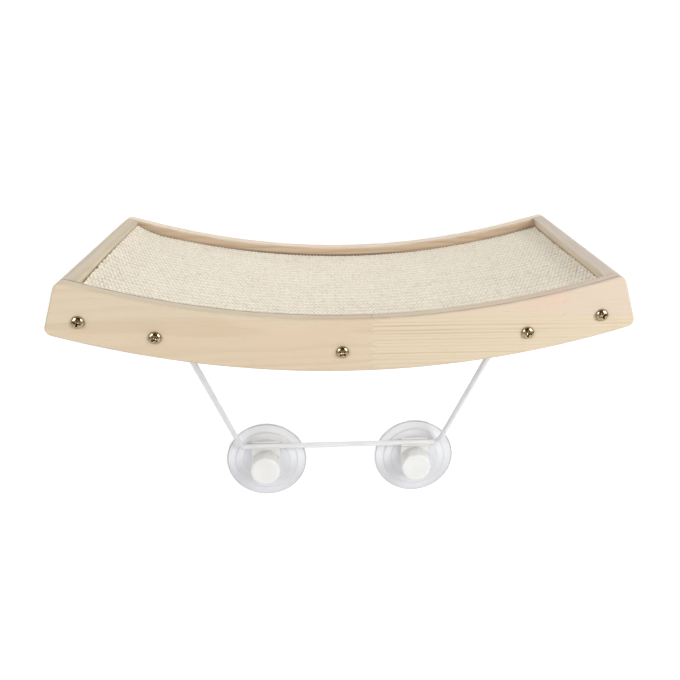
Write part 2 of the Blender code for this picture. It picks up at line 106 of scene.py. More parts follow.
# ------------------------------------------------------------- node helpers
class Graph:
    """A small wrapper that builds one material's node tree."""

    def __init__(self, name):
        self.mat = bpy.data.materials.new(name)
        self.mat.use_nodes = True
        self.tree = self.mat.node_tree
        self.tree.nodes.clear()
        self.out = self.node("ShaderNodeOutputMaterial")
        self.bsdf = self.node("ShaderNodeBsdfPrincipled")
        self.link(self.bsdf.outputs[0], self.out.inputs["Surface"])

    def node(self, kind, **props):
        n = self.tree.nodes.new(kind)
        for k, v in props.items():
            setattr(n, k, v)
        return n

    def link(self, a, b):
        self.tree.links.new(a, b)

    def put(self, socket, value):
        if hasattr(value, "is_output"):
            self.link(value, socket)
        else:
            socket.default_value = value

    def math(self, op, *args, clamp=False):
        n = self.node("ShaderNodeMath", operation=op, use_clamp=clamp)
        for i, a in enumerate(args):
            self.put(n.inputs[i], a)
        return n.outputs[0]

    def vmath(self, op, *args):
        n = self.node("ShaderNodeVectorMath", operation=op)
        for i, a in enumerate(args):
            self.put(n.inputs[i], a)
        return n.outputs[1] if op in ("LENGTH", "DISTANCE", "DOT_PRODUCT") else n.outputs[0]

    def position(self):
        """Object coordinates in millimetres."""
        c = self.node("ShaderNodeTexCoord")
        n = self.node("ShaderNodeVectorMath", operation="SCALE")
        self.link(c.outputs["Object"], n.inputs[0])
        n.inputs["Scale"].default_value = 1000.0
        return n.outputs[0]

    def split(self, v):
        n = self.node("ShaderNodeSeparateXYZ")
        self.put(n.inputs[0], v)
        return n.outputs[0], n.outputs[1], n.outputs[2]

    def join(self, x, y, z):
        n = self.node("ShaderNodeCombineXYZ")
        for s, v in zip(n.inputs, (x, y, z)):
            self.put(s, v)
        return n.outputs[0]

    def scaled(self, v, s, shift=(0.0, 0.0, 0.0)):
        """v * s + shift, component by component."""
        n = self.node("ShaderNodeVectorMath", operation="MULTIPLY_ADD")
        self.put(n.inputs[0], v)
        n.inputs[1].default_value = s
        n.inputs[2].default_value = shift
        return n.outputs[0]

    def noise(self, v, scale=1.0, detail=2.0, rough=0.5, distort=0.0):
        n = self.node("ShaderNodeTexNoise")
        self.put(n.inputs["Vector"], v)
        n.inputs["Scale"].default_value = scale
        n.inputs["Detail"].default_value = detail
        n.inputs["Roughness"].default_value = rough
        n.inputs["Distortion"].default_value = distort
        return n.outputs["Fac"]

    def cells(self, v, scale=1.0, output="Color"):
        n = self.node("ShaderNodeTexVoronoi")
        self.put(n.inputs["Vector"], v)
        n.inputs["Scale"].default_value = scale
        return n.outputs[output]

    def remap(self, v, a, b, c=0.0, d=1.0, kind="SMOOTHSTEP"):
        n = self.node("ShaderNodeMapRange", interpolation_type=kind, clamp=True)
        self.put(n.inputs["Value"], v)
        n.inputs["From Min"].default_value = a
        n.inputs["From Max"].default_value = b
        n.inputs["To Min"].default_value = c
        n.inputs["To Max"].default_value = d
        return n.outputs["Result"]

    def ramp(self, fac, stops, kind="LINEAR"):
        n = self.node("ShaderNodeValToRGB")
        cr = n.color_ramp
        cr.interpolation = kind
        while len(cr.elements) < len(stops):
            cr.elements.new(0.5)
        for e, (p, c) in zip(cr.elements, stops):
            e.position = p
            e.color = (*c, 1.0) if len(c) == 3 else c
        self.put(n.inputs[0], fac)
        return n.outputs[0]

    def mix(self, fac, a, b, blend="MIX"):
        n = self.node("ShaderNodeMix", data_type="RGBA", blend_type=blend)
        n.clamp_factor = True
        self.put(n.inputs[0], fac)
        self.put(n.inputs[6], a if hasattr(a, "is_output") else (*a, 1.0))
        self.put(n.inputs[7], b if hasattr(b, "is_output") else (*b, 1.0))
        return n.outputs[2]

    def mixf(self, fac, a, b):
        n = self.node("ShaderNodeMix", data_type="FLOAT")
        self.put(n.inputs[0], fac)
        self.put(n.inputs[2], a)
        self.put(n.inputs[3], b)
        return n.outputs[0]

    def bump(self, height, distance, strength=1.0, normal=None):
        n = self.node("ShaderNodeBump")
        n.inputs["Strength"].default_value = strength
        n.inputs["Distance"].default_value = distance
        self.put(n.inputs["Height"], height)
        if normal is not None:
            self.link(normal, n.inputs["Normal"])
        return n.outputs[0]

    def set(self, **sockets):
        for k, v in sockets.items():
            s = self.bsdf.inputs[k.replace("_", " ")]
            if hasattr(v, "is_output"):
                self.link(v, s)
            elif isinstance(v, (tuple, list)) and len(v) == 3 and s.type == "RGBA":
                s.default_value = (*v, 1.0)
            else:
                s.default_value = v


# ------------------------------------------------------------------- pine
def rings(g, pos, axis, seed, centre, pitch, warp, wander, ripple=0.55):
    """Growth rings of a log whose axis runs along one axis of the part:
    0 in early wood, rising to 1 in the narrow late wood."""
    x, y, z = g.split(pos)
    along, u, v = (x, y, z) if axis == "X" else (y, x, z)
    low = g.noise(g.join(g.math("MULTIPLY", along, 1.0 / wander),
                         g.math("MULTIPLY_ADD", u, 0.017, seed),
                         g.math("MULTIPLY_ADD", v, 0.017, seed * 0.37)), 1.0, 2.0, 0.45)
    fine = g.noise(g.join(g.math("MULTIPLY", along, 3.5 / wander),
                          g.math("MULTIPLY_ADD", u, 0.11, seed * 1.7),
                          g.math("MULTIPLY_ADD", v, 0.11, seed)), 1.0, 1.0, 0.5)
    du = g.math("SUBTRACT", u, centre[0])
    dv = g.math("SUBTRACT", v, centre[1])
    rad = g.math("SQRT", g.math("ADD", g.math("MULTIPLY", du, du), g.math("MULTIPLY", dv, dv)))
    rad = g.math("ADD", rad, g.math("MULTIPLY", g.math("SUBTRACT", low, 0.5), warp))
    rad = g.math("ADD", rad, g.math("MULTIPLY", g.math("SUBTRACT", fine, 0.5), pitch * ripple))
    phase = g.math("DIVIDE", rad, pitch)
    frac = g.math("FRACT", phase)
    ring = g.math("FLOOR", phase)
    late = g.math("MULTIPLY", g.remap(frac, 0.30, 0.80), g.remap(frac, 1.0, 0.86))
    wn = g.node("ShaderNodeTexWhiteNoise", noise_dimensions="1D")
    g.put(wn.inputs["W"], ring)
    strength = g.math("MULTIPLY_ADD", wn.outputs["Value"], 0.65, 0.35)
    return g.math("MULTIPLY", late, strength), phase


def fibre(g, pos, axis, seed, length=26.0, width=0.55):
    s = (1 / length, 1 / width, 1 / width) if axis == "X" else (1 / width, 1 / length, 1 / width)
    return g.noise(g.scaled(pos, s, (seed, seed * 2, seed * 3)), 1.0, 3.0, 0.6)


def pine(name, axis, seed, early, late, centre, pitch, warp=9.0, wander=150.0,
         rosy=0.35, depth=1.0, second=None, top=None, arris=None, crease_shade_y=None):
    """Sanded pine. second gives the wood right of a finger joint, top multiplies
    the up-facing edge's colour: below 1 it paints shade there, above 1 a whitish sheen;
    arris (inner Y, outer Y) darkens that edge's corners, crease (Y of the inner face)
    paints shade along the line where the mat meets that face."""
    g = Graph(name)
    pos = g.position()
    x, y, z = g.split(pos)
    lw, _ = rings(g, pos, axis, seed, centre, pitch, warp, wander)
    fib = fibre(g, pos, axis, seed)
    fine = fibre(g, pos, axis, seed + 5.0, 60.0, 0.25)
    patch = g.noise(g.scaled(pos, (0.012, 0.03, 0.045) if axis == "X" else (0.045, 0.012, 0.045),
                             (seed, 0, 0)), 1.0, 2.0, 0.5)
    tint = g.remap(patch, 0.36, 0.66)
    warm = tuple(c * k for c, k in zip(early, (1.015, 0.955, 0.93)))
    col_a = g.mix(g.math("MULTIPLY", tint, rosy), early, warm)
    col = g.mix(g.math("MULTIPLY", lw, depth), col_a, late)
    if second:
        lw2, _ = rings(g, pos, axis, seed + 11.0, second["centre"], second["pitch"],
                       second["warp"], second["wander"], 0.30)
        col_b = g.mix(g.math("MULTIPLY", tint, second["rosy"]), second["early"],
                      tuple(c * k for c, k in zip(second["early"], (1.01, 0.97, 0.95))))
        # straight late-wood lines that fade towards the board's end
        fade = g.remap(x, 235.0, 50.0, 0.52, 1.0)
        sway = g.noise(g.join(g.math("MULTIPLY", x, 0.0055), 3.3, g.math("MULTIPLY", z, 0.02)), 1.0, 1.0, 0.5)
        zz = g.math("MULTIPLY_ADD", g.math("SUBTRACT", sway, 0.5), 3.4, z)
        stops = []
        for at, half, amount in second["lines"]:
            stops += [((at - half + 50.0) / 51.0, 0.0), ((at + 50.0) / 51.0, amount), ((at + half + 50.0) / 51.0, 0.0)]
        lines = g.ramp(g.math("DIVIDE", g.math("ADD", zz, 50.0), 51.0), [(p, (a, a, a)) for p, a in stops])
        breaks = g.remap(g.noise(g.join(g.math("MULTIPLY", x, 0.016), 7.7, g.math("MULTIPLY", z, 0.30)), 1.0, 1.0, 0.5),
                         0.30, 0.62, 0.35, 1.0)
        lw2 = g.math("ADD", g.math("MULTIPLY", lw2, 0.42), g.math("MULTIPLY", lines, breaks), clamp=True)
        lw2 = g.math("MULTIPLY", lw2, fade)
        col_b = g.mix(g.math("MULTIPLY", lw2, second["depth"]), col_b, second["late"])
        # finger joint: a zigzag through the board's height
        saw = g.math("FRACT", g.math("MULTIPLY_ADD", z, 1 / 6.2, 0.21))
        tri = g.math("SUBTRACT", g.math("MULTIPLY", g.math("ABSOLUTE", g.math("SUBTRACT", saw, 0.5)), 4.0), 1.0)
        edge = g.math("SUBTRACT", x, g.math("MULTIPLY_ADD", tri, second["finger"], second["joint"]))
        side = g.remap(edge, -0.35, 0.35)
        col = g.mix(side, col, col_b)
        lw = g.mixf(side, lw, lw2)
        # glue line, stronger here and weaker there, and the blunt finger tips
        glue = g.remap(g.math("ABSOLUTE", edge), 1.25, 0.25)
        tips = g.remap(g.math("ABSOLUTE", tri), 0.86, 0.97)
        broken = g.remap(g.noise(g.scaled(pos, (0.02, 0.1, 0.34), (3, 1, 2)), 1.0, 1.0, 0.5), 0.42, 0.60)
        glue = g.math("MULTIPLY", glue, g.math("MULTIPLY_ADD", broken, 0.75, g.math("MULTIPLY", tips, 0.4)))
        # upper stave: plainer wood with a finger joint of its own
        upper = g.remap(z, 0.35, 0.75)
        edge2 = g.math("SUBTRACT", x, g.math("MULTIPLY_ADD", tri, 3.2, 198.5))
        side2 = g.remap(edge2, -0.35, 0.35)
        blush = g.math("MULTIPLY", g.remap(x, 120.0, 188.0), g.remap(z, 1.0, 9.0))
        col_u = g.mix(side, second["upper"][0], g.mix(blush, second["upper"][1], second["upper"][2]))
        col_u = g.mix(side2, col_u, second["upper"][3])
        col_u = g.mix(g.math("MULTIPLY", lw, 0.22), col_u, second["late"])
        col = g.mix(upper, col, col_u)
        lw = g.math("MULTIPLY", lw, g.mixf(upper, 1.0, 0.35))
        seam = g.remap(g.math("ABSOLUTE", g.math("SUBTRACT", z, 0.55)), 0.55, 0.1)
        glue = g.mixf(upper, glue, g.math("MULTIPLY", g.remap(g.math("ABSOLUTE", edge2), 1.25, 0.25), g.math("MULTIPLY", broken, 0.55)))
        col = g.mix(g.math("MULTIPLY", seam, 0.14), col, (0.42, 0.305, 0.195))
        col = g.mix(g.math("MULTIPLY", glue, 0.62), col, (0.42, 0.305, 0.195))
    # fibres, short resin streaks and pores
    col = g.mix(1.0, col, g.ramp(fib, [(0.25, (0.955, 0.945, 0.93)), (0.55, (1.0, 1.0, 1.0)), (0.85, (1.03, 1.03, 1.03))]), "MULTIPLY")
    col = g.mix(0.6, col, g.ramp(fine, [(0.3, (0.97, 0.965, 0.955)), (0.7, (1.0, 1.0, 1.0))]), "MULTIPLY")
    s = (0.11, 1.1, 1.1) if axis == "X" else (1.1, 0.11, 1.1)
    dash = g.remap(g.noise(g.scaled(pos, s, (seed * 7, 1, 4)), 1.0, 0.0, 0.5), 0.75, 0.82)
    col = g.mix(g.math("MULTIPLY", dash, 0.22), col, (0.42, 0.31, 0.20))
    # painted light on the up-facing surfaces: top values below 1 paint shade, above 1 a whitish sheen
    if top:
        geo = g.node("ShaderNodeNewGeometry")
        up = g.remap(g.split(geo.outputs["True Normal"])[2], 0.55, 0.88)
        col = g.mix(up, col, g.mix(1.0, col, top, "MULTIPLY"))
        if arris:
            # darker lines along the top's inner and outer edges, broken up by noise
            edge_line_breaks = g.remap(g.noise(g.scaled(pos, (0.05, 0.3, 0.05), (6, 2, 8)), 1.0, 2.0, 0.5), 0.3, 0.6, 0.5, 1.0)
            inner = g.math("MULTIPLY", g.remap(g.math("ABSOLUTE", g.math("SUBTRACT", y, arris[0])), 1.7, 0.9),
                           g.remap(x, 120.0, -60.0, 0.25, 1.0))
            outer = g.math("MULTIPLY", g.remap(g.math("ABSOLUTE", g.math("SUBTRACT", y, arris[1])), 1.7, 0.9),
                           g.remap(x, -60.0, 100.0, 0.15, 0.8))
            inner = g.math("MULTIPLY", inner, g.math("MULTIPLY", up, edge_line_breaks))
            outer = g.math("MULTIPLY", outer, g.math("MULTIPLY", up, edge_line_breaks))
            col = g.mix(g.math("MULTIPLY", inner, 0.85), col, (0.165, 0.135, 0.105))
            col = g.mix(g.math("MULTIPLY", outer, 0.85), col, (0.230, 0.175, 0.125))
    # painted shade along the line where the mat meets the inner face
    if crease_shade_y:
        zc = g.math("SUBTRACT", ARC_R, z)
        rad = g.math("SQRT", g.math("ADD", g.math("MULTIPLY", x, x), g.math("MULTIPLY", zc, zc)))
        low = g.math("MULTIPLY", g.remap(rad, MAT_R - 2.0, MAT_R - 0.7), g.remap(y, crease_shade_y + 0.6, crease_shade_y + 0.2))
        run = g.math("MULTIPLY", g.remap(x, -190.0, -60.0, 0.25, 1.0), g.remap(x, 130.0, 30.0, 0.3, 1.0))
        col = g.mix(g.math("MULTIPLY", g.math("MULTIPLY", low, run), 0.75), col, (0.150, 0.110, 0.080))
    g.set(Base_Color=col)
    rough = g.math("MULTIPLY_ADD", fib, 0.16, 0.46)
    rough = g.math("SUBTRACT", rough, g.math("MULTIPLY", lw, 0.07))
    g.set(Roughness=rough, Specular_IOR_Level=0.42, Coat_Weight=0.06, Coat_Roughness=0.35)
    h = g.math("ADD", g.math("MULTIPLY", lw, 0.35), g.math("MULTIPLY", fib, 0.45))
    h = g.math("ADD", h, g.math("MULTIPLY", fine, 0.35))
    g.set(Normal=g.bump(h, 0.00009, 0.8))
    return g.mat


# top values paint light on the up-facing edges: shade on the front and end boards, a whitish sheen on the rear board
FRONT_PINE = pine(
    "pine_front", "X", 3.1, (0.606, 0.500, 0.364), (0.548, 0.430, 0.290), (-345.0, -6.0), 4.4,
    warp=17.0, wander=330.0, rosy=0.65, depth=0.75, top=(0.975, 0.965, 0.955), arris=(-282.9, -293.7),
    second=dict(joint=23.2, finger=3.6, centre=(-250.0, 640.0), pitch=3.25, warp=5.0, wander=320.0,
                early=(0.636, 0.536, 0.394), late=(0.455, 0.335, 0.205), rosy=0.4, depth=0.70,
                lines=((-47.4, 1.0, 0.62), (-43.6, 0.9, 0.50), (-38.2, 1.0, 0.58), (-33.0, 1.0, 0.60),
                       (-26.5, 0.8, 0.26), (-19.8, 0.8, 0.30), (-14.3, 1.0, 0.90), (-11.3, 1.0, 1.00),
                       (-6.7, 1.1, 0.92), (-3.3, 0.8, 0.40)),
                upper=((0.600, 0.505, 0.368), (0.630, 0.526, 0.394), (0.646, 0.504, 0.390), (0.622, 0.518, 0.410))))
REAR_PINE = pine("pine_rear", "X", 8.7, (0.535, 0.417, 0.294), (0.420, 0.290, 0.183),
                 (-210.0, 140.0), 4.6, warp=14.0, wander=190.0, rosy=0.8, depth=0.8, top=(1.44, 1.64, 1.97), crease_shade_y=-31.0)
END_PINE_L = pine("pine_end_left", "Y", 5.2, (0.635, 0.570, 0.440), (0.545, 0.455, 0.325),
                  (-330.0, -70.0), 3.9, warp=6.0, wander=170.0, rosy=0.5, depth=0.8, top=(0.885, 0.855, 0.830))
END_PINE_R = pine("pine_end_right", "Y", 12.4, (0.640, 0.548, 0.432), (0.530, 0.420, 0.300),
                  (190.0, 120.0), 4.4, warp=7.0, wander=150.0, rosy=0.6, depth=0.8, top=(0.90, 0.915, 0.990))
BAR_PINE = pine("pine_bars", "Y", 17.9, (0.660, 0.520, 0.360), (0.560, 0.405, 0.252),
                (35.0, -120.0), 3.4, warp=8.0, wander=120.0, rosy=0.4, depth=0.8)


def plywood():
    """Bent birch plywood: rotary-cut face veneer, dark glue lines in the edge."""
    g = Graph("birch_plywood")
    pos = g.position()
    x, y, z = g.split(pos)
    zc = g.math("SUBTRACT", z, ARC_R)
    rad = g.math("SQRT", g.math("ADD", g.math("MULTIPLY", x, x), g.math("MULTIPLY", zc, zc)))
    warp = g.noise(g.scaled(pos, (0.006, 0.022, 0.02), (2, 5, 1)), 1.0, 3.0, 0.55, 0.4)
    wave = g.math("SINE", g.math("MULTIPLY", warp, 58.0))
    figure = g.remap(wave, -0.2, 1.0)
    fib = fibre(g, pos, "X", 21.0, 18.0, 0.5)
    col = g.mix(g.math("MULTIPLY", figure, 0.5), (0.660, 0.515, 0.350), (0.585, 0.430, 0.272))
    col = g.mix(1.0, col, g.ramp(fib, [(0.25, (0.93, 0.92, 0.90)), (0.7, (1.02, 1.02, 1.02))]), "MULTIPLY")
    pore = g.remap(g.noise(g.scaled(pos, (0.16, 1.6, 1.6), (9, 4, 2)), 1.0, 0.0, 0.5), 0.70, 0.76)
    col = g.mix(g.math("MULTIPLY", pore, 0.45), col, (0.36, 0.235, 0.135))
    ply = g.math("FRACT", g.math("MULTIPLY", g.math("SUBTRACT", rad, MAT_R + 5.3), 0.75))
    line = g.math("MULTIPLY", g.remap(ply, 0.0, 0.12, 1.0, 0.0), 0.5)
    col = g.mix(line, col, (0.30, 0.19, 0.11))
    g.set(Base_Color=col, Roughness=g.math("MULTIPLY_ADD", fib, 0.15, 0.52), Specular_IOR_Level=0.4)
    g.set(Normal=g.bump(g.math("ADD", fib, g.math("MULTIPLY", figure, 0.2)), 0.00008, 0.8))
    return g.mat


# ------------------------------------------------------------------- sisal
MAT_HALF = MAT_R * (END_ANGLE - math.asin((BOARD_T + 0.6) / MAT_R))
CURL_RUN = 34.0
# how far the mat's two ends curl up, near the front and farther back
CURL_LEFT = (2.6, 5.6)
CURL_RIGHT = (1.6, 0.0)


def sisal():
    """Bleached sisal yarn: creamy, with painted shade darkening it down between the floats."""
    g = Graph("sisal_weave")
    pos = g.position()
    x, y, z = g.split(pos)
    zc = g.math("SUBTRACT", ARC_R, z)
    rad = g.math("SQRT", g.math("ADD", g.math("MULTIPLY", x, x), g.math("MULTIPLY", zc, zc)))
    along = g.math("MULTIPLY", g.math("ARCTAN2", x, zc), MAT_R)
    flat = g.join(along, y, 0.0)
    # depth below the tops of the floats, allowing for the curl at both ends
    t_l = g.math("SUBTRACT", 1.0, g.math("DIVIDE", g.math("ADD", along, MAT_HALF), CURL_RUN), clamp=True)
    t_r = g.math("SUBTRACT", 1.0, g.math("DIVIDE", g.math("SUBTRACT", MAT_HALF, along), CURL_RUN), clamp=True)
    far = g.math("DIVIDE", g.math("SUBTRACT", y, MAT_Y0), MAT_Y1 - MAT_Y0)
    curl = g.math("MULTIPLY", g.math("MULTIPLY", t_l, t_l), g.remap(far, 0.0, 0.5, *CURL_LEFT))
    curl = g.math("ADD", curl, g.math("MULTIPLY", g.math("MULTIPLY", t_r, t_r), g.remap(far, 0.25, 0.75, *CURL_RIGHT)))
    sunk = g.math("ADD", g.math("SUBTRACT", rad, MAT_R), curl)
    # painted shade in the hollows between the floats, the deepest hollows darkest
    painted_pit_shade = g.remap(sunk, 0.50, 1.15)
    deep = g.remap(sunk, 1.0, 1.5)
    tuft = g.cells(g.scaled(flat, (0.25, 0.206, 1.0)), 1.0, "Color")
    tr, tg_, tb = g.split(tuft)
    col = g.mix(g.remap(tr, 0.0, 1.0, 0.0, 0.45, "LINEAR"), (0.905, 0.850, 0.735), (0.860, 0.790, 0.660))
    col = g.mix(g.remap(tb, 0.90, 1.0, 0.0, 0.30, "LINEAR"), col, (0.640, 0.545, 0.410))
    broad = g.noise(g.scaled(flat, (0.02, 0.02, 1.0), (4, 7, 0)), 1.0, 3.0, 0.55)
    col = g.mix(1.0, col, g.ramp(broad, [(0.3, (0.975, 0.97, 0.955)), (0.7, (1.01, 1.01, 1.01))]), "MULTIPLY")
    # strands of yarn lie slantwise over each float
    slant = g.math("ADD", g.math("MULTIPLY", along, 0.30), g.math("MULTIPLY", y, 1.0))
    across = g.math("SUBTRACT", g.math("MULTIPLY", along, 1.0), g.math("MULTIPLY", y, 0.30))
    strands = g.noise(g.join(g.math("MULTIPLY", across, 0.35), g.math("MULTIPLY", slant, 3.4), g.math("MULTIPLY", rad, 1.5)),
                      1.0, 3.0, 0.65)
    fuzz = g.noise(g.scaled(pos, (4.0, 4.0, 4.0), (1, 2, 3)), 1.0, 4.0, 0.7)
    col = g.mix(1.0, col, g.ramp(strands, [(0.28, (0.88, 0.86, 0.83)), (0.52, (1.0, 1.0, 1.0)), (0.80, (1.05, 1.05, 1.04))]), "MULTIPLY")
    # painted shade down between the floats
    col = g.mix(g.math("MULTIPLY", painted_pit_shade, 0.50), col, (0.480, 0.410, 0.310))
    col = g.mix(g.math("MULTIPLY", deep, 0.58), col, (0.165, 0.130, 0.085))
    g.set(Base_Color=col, Roughness=g.math("MULTIPLY_ADD", strands, 0.15, 0.80), Specular_IOR_Level=0.25,
          Sheen_Weight=0.08, Sheen_Roughness=0.5)
    g.bsdf.inputs["Sheen Tint"].default_value = (1.0, 0.98, 0.94, 1.0)
    h = g.math("ADD", g.math("MULTIPLY", strands, 1.0), g.math("MULTIPLY", fuzz, 0.5))
    g.set(Normal=g.bump(h, 0.00035, 0.9))
    return g.mat


# ------------------------------------------------------------------- metals
def yellow_zinc():
    """Yellow passivated zinc plate: bright, faintly rainbow-tinted, with painted
    shade darkening the cross recess."""
    g = Graph("yellow_zinc")
    pos = g.position()
    cloud = g.noise(g.scaled(pos, (0.22, 0.22, 0.22), (1, 3, 5)), 1.0, 3.0, 0.6)
    grit = g.noise(pos, 3.5, 3.0, 0.6)
    col = g.ramp(cloud, [(0.30, (0.47, 0.395, 0.235)), (0.46, (0.52, 0.42, 0.25)), (0.56, (0.49, 0.37, 0.24)), (0.70, (0.44, 0.40, 0.25))])
    col = g.mix(1.0, col, g.ramp(grit, [(0.3, (0.84, 0.83, 0.80)), (0.6, (1.0, 1.0, 1.0))]), "MULTIPLY")
    # painted shade: occlusion darkens the cross recess almost to black
    ao = g.node("ShaderNodeAmbientOcclusion", samples=8)
    ao.inputs["Distance"].default_value = 0.0022
    painted_recess_shade = g.remap(ao.outputs["AO"], 0.80, 0.45)
    col = g.mix(g.math("MULTIPLY", painted_recess_shade, 0.88), col, (0.060, 0.045, 0.028))
    g.set(Base_Color=col, Metallic=1.0, Roughness=g.math("MULTIPLY_ADD", grit, 0.12, 0.10))
    g.set(Normal=g.bump(grit, 0.00002, 0.6))
    return g.mat


def zinc_steel():
    g = Graph("zinc_steel")
    pos = g.position()
    grit = g.noise(pos, 2.2, 3.0, 0.6)
    spangle = g.cells(pos, 0.7, "Distance")
    col = g.mix(g.remap(spangle, 0.1, 0.8), (0.60, 0.61, 0.63), (0.74, 0.75, 0.76))
    g.set(Base_Color=col, Metallic=1.0, Roughness=g.math("MULTIPLY_ADD", grit, 0.18, 0.18))
    g.set(Normal=g.bump(grit, 0.00002, 0.6))
    return g.mat


# ----------------------------------------------------------- plastics, paint
def powder_coat():
    """White powder coat with its fine orange-peel skin."""
    g = Graph("white_powder_coat")
    pos = g.position()
    peel = g.noise(pos, 0.60, 1.0, 0.4)
    fine = g.noise(pos, 3.6, 2.0, 0.6)
    broad = g.noise(pos, 0.03, 2.0, 0.5)
    col = g.mix(g.remap(broad, 0.3, 0.7), (0.688, 0.695, 0.710), (0.724, 0.729, 0.740))
    g.set(Base_Color=col, Roughness=g.math("MULTIPLY_ADD", fine, 0.10, 0.27), Specular_IOR_Level=0.5,
          Coat_Weight=0.15, Coat_Roughness=0.2)
    g.set(Normal=g.bump(g.math("ADD", peel, g.math("MULTIPLY", fine, 0.10)), 0.000025, 0.5))
    return g.mat


def white_plastic():
    """Warm white moulded plastic, finely spark-eroded."""
    g = Graph("white_plastic")
    pos = g.position()
    spark = g.noise(pos, 2.6, 3.0, 0.6)
    broad = g.noise(pos, 0.05, 2.0, 0.5)
    col = g.mix(g.remap(broad, 0.3, 0.7), (0.700, 0.703, 0.692), (0.732, 0.734, 0.725))
    g.set(Base_Color=col, Roughness=g.math("MULTIPLY_ADD", spark, 0.16, 0.30), Specular_IOR_Level=0.5,
          Subsurface_Weight=0.12, Subsurface_Scale=0.004)
    g.bsdf.inputs["Subsurface Radius"].default_value = (1.0, 0.9, 0.75)
    g.set(Normal=g.bump(spark, 0.00003, 0.6))
    return g.mat


def clear_vinyl():
    """Soft clear vinyl: milky where it is thick, with painted shade as a dark line
    where the flat lip and each step turn the light aside, and on the lower half."""
    g = Graph("clear_vinyl")
    pos = g.position()
    x, y, z = g.split(pos)
    ax = g.math("ABSOLUTE", x)
    is_low = g.math("LESS_THAN", z, -150.0)
    u = g.math("SUBTRACT", ax, g.mixf(is_low, UP_X, CUP_X))
    v = g.math("SUBTRACT", z, g.mixf(is_low, UP_Z, CUP_Z))
    rad = g.math("SQRT", g.math("ADD", g.math("MULTIPLY", u, u), g.math("MULTIPLY", v, v)))
    size = g.mixf(is_low, 29.0, 53.6)
    rel = g.math("DIVIDE", rad, size)
    flow = g.noise(g.scaled(pos, (0.06, 0.2, 0.06), (2, 2, 2)), 1.0, 3.0, 0.55, 0.8)
    haze = g.noise(pos, 0.8, 2.0, 0.5)
    wave = g.math("SINE", g.math("MULTIPLY", g.math("ADD", rel, g.math("MULTIPLY", flow, 0.05)), 62.0))
    thick = g.remap(rel, 0.82, 0.70)
    dome = g.remap(rel, 0.62, 0.54)
    col = g.mix(g.math("MULTIPLY", thick, 0.55), (0.880, 0.882, 0.905), (0.845, 0.849, 0.878))
    col = g.mix(g.math("MULTIPLY", dome, 0.40), col, (0.805, 0.810, 0.845))
    col = g.mix(g.remap(flow, 0.35, 0.70, 0.0, 0.35), col, (0.84, 0.84, 0.86))
    col = g.mix(g.remap(wave, 0.2, 1.0, 0.0, 0.10), col, (0.55, 0.56, 0.60))
    # painted shade: thin dark lines at the lip's edge, the outer step and the inner step, weighted stronger towards the
    # top
    ring_shade_weight = g.remap(g.math("DIVIDE", v, size), -0.8, 0.4, 0.60, 1.0)
    # painted shade darkening the lower half of each cup
    col = g.mix(g.remap(g.math("DIVIDE", v, size), 0.3, -0.9, 0.0, 0.29), col, (0.50, 0.51, 0.54))
    for at, half, amount in ((0.978, 0.026, 1.0), (0.770, 0.030, 0.42), (0.580, 0.034, 0.30)):
        ring = g.remap(g.math("ABSOLUTE", g.math("SUBTRACT", rel, at)), half, 0.0)
        col = g.mix(g.math("MULTIPLY", g.math("MULTIPLY", ring, ring_shade_weight), amount), col, (0.36, 0.37, 0.40))
    alpha = g.math("MULTIPLY_ADD", thick, 0.10, 0.62)
    lip = g.remap(rel, 0.955, 0.985)
    alpha = g.math("ADD", alpha, g.math("MULTIPLY", lip, 0.33))
    g.set(Base_Color=col, Roughness=g.math("MULTIPLY_ADD", haze, 0.10, 0.13), IOR=1.50,
          Specular_IOR_Level=0.5, Alpha=alpha, Subsurface_Weight=0.15, Subsurface_Scale=0.006)
    g.set(Normal=g.bump(g.math("ADD", flow, g.math("MULTIPLY", haze, 0.15)), 0.0004, 0.6))
    return g.mat


PLY_MAT = plywood()
SISAL_MAT = sisal()
ZINC_MAT = yellow_zinc()
STEEL_MAT = zinc_steel()
COAT_MAT = powder_coat()
WHITE_MAT = white_plastic()
VINYL_MAT = clear_vinyl()


def dress(name, mat):
    ob = NODES[name]
    for slot in ob.material_slots:
        slot.material = mat


dress("front_board", FRONT_PINE)
dress("rear_board", REAR_PINE)
dress("end_board_left", END_PINE_L)
dress("end_board_right", END_PINE_R)
for n in ("support_bar_left", "bracket_bar_left", "support_bar_centre", "bracket_bar_right", "support_bar_right"):
    dress(n, BAR_PINE)
dress("base_panel", PLY_MAT)
for s in ("left", "right"):
    dress("pin_cap_" + s, WHITE_MAT)
    dress("lower_saddle_" + s, WHITE_MAT)
    dress("lower_stud_" + s, STEEL_MAT)


# --------------------------------------------------------------- mesh helpers
def add_piece(name, verts, faces, mat, body, replaces, smooth=40.0):
    """Mesh in millimetres, riding on a body, standing for CAD nodes."""
    mesh = bpy.data.meshes.new(name)
    mesh.from_pydata([tuple(v) for v in np.asarray(verts, float) * MM], [], faces)
    mesh.validate()
    mesh.materials.append(mat)
    mesh.shade_smooth()
    if smooth < 180:
        mesh.set_sharp_from_angle(angle=math.radians(smooth))
    ob = bpy.data.objects.new(name, mesh)
    COLL.objects.link(ob)
    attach(ob, body)
    if replaces:
        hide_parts(*replaces)
    return ob


def rounded(points, seg=4):
    """Polyline of (r, d, fillet) with its corners rounded."""
    out = []
    n = len(points)
    for i, p in enumerate(points):
        r = p[2] if len(p) > 2 else 0.0
        here = np.array(p[:2], float)
        if r <= 0 or i == 0 or i == n - 1:
            out.append(tuple(here))
            continue
        a = np.array(points[i - 1][:2], float) - here
        b = np.array(points[i + 1][:2], float) - here
        la, lb = np.linalg.norm(a), np.linalg.norm(b)
        k = min(r, la * 0.49, lb * 0.49)
        pa, pb = here + a / la * k, here + b / lb * k
        for j in range(seg + 1):
            t = j / seg
            out.append(tuple((1 - t) ** 2 * pa + 2 * t * (1 - t) * here + t * t * pb))
    return out


